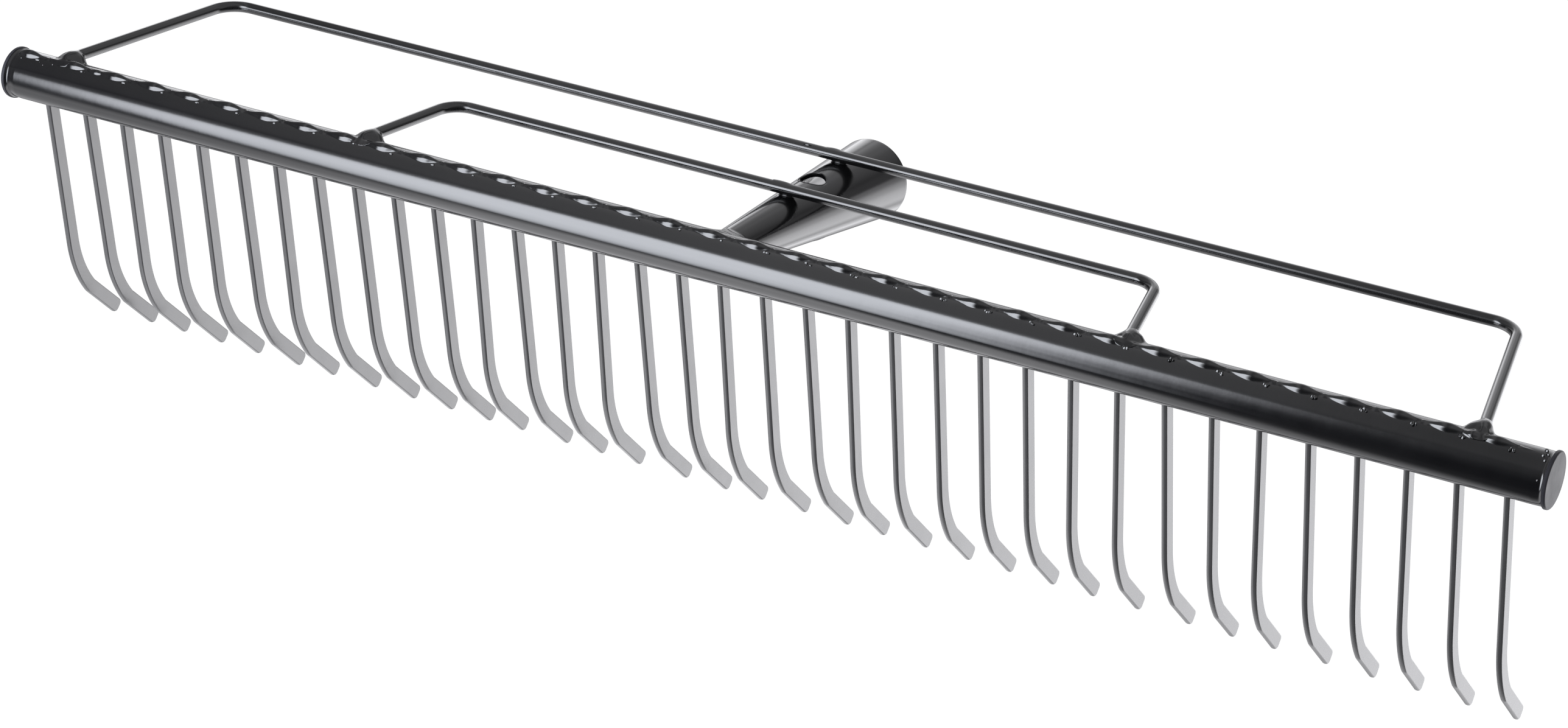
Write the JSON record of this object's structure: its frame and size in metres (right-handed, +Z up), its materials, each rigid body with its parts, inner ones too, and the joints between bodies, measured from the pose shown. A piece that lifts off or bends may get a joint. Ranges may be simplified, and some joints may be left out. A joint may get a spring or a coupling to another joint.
{
  "type": "landscape rake head",
  "caption": "Wide landscape rake head: slotted steel tube with flat bent tines through it, tapered handle socket and two wire brace bows.",
  "frame": {"origin": "centre of the open mouth of the handle socket, on the socket's axis", "axes": "+X along the tube, +Y back from the tube toward the handle, +Z up, away from the straight upper part of the tines"},
  "size_m": [0.9104, 0.1756, 0.1892],
  "materials": {
    "paint_black": "gloss black paint on steel",
    "weld_black": "gloss black paint over rough weld metal",
    "tine_black": "smooth gloss black paint on flat steel bar"
  },
  "bodies": {
    "root": {"head_tube": "paint_black", "left_end_disc": "paint_black", "right_end_disc": "paint_black", "handle_socket": "paint_black", "outer_bow": "paint_black", "inner_bow": "paint_black", "tine_weld_run": "weld_black", "outer_bow_left_weld": "weld_black", "outer_bow_right_weld": "weld_black", "inner_bow_left_weld": "weld_black", "inner_bow_right_weld": "weld_black", "outer_bow_socket_weld_front": "weld_black", "outer_bow_socket_weld_back": "weld_black", "inner_bow_socket_weld_front": "weld_black", "inner_bow_socket_weld_back": "weld_black", "socket_tube_weld": "weld_black", "tine_01": "tine_black", "tine_02": "tine_black", "tine_03": "tine_black", "tine_04": "tine_black", "tine_05": "tine_black", "tine_06": "tine_black", "tine_07": "tine_black", "tine_08": "tine_black", "tine_09": "tine_black", "tine_10": "tine_black", "tine_11": "tine_black", "tine_12": "tine_black", "tine_13": "tine_black", "tine_14": "tine_black", "tine_15": "tine_black", "tine_16": "tine_black", "tine_17": "tine_black", "tine_18": "tine_black", "tine_19": "tine_black", "tine_20": "tine_black", "tine_21": "tine_black", "tine_22": "tine_black", "tine_23": "tine_black", "tine_24": "tine_black", "tine_25": "tine_black", "tine_26": "tine_black", "tine_27": "tine_black", "tine_28": "tine_black", "tine_29": "tine_black", "tine_30": "tine_black", "tine_31": "tine_black", "tine_32": "tine_black", "tine_33": "tine_black", "tine_34": "tine_black", "tine_35": "tine_black"}
  },
  "joints": []
}
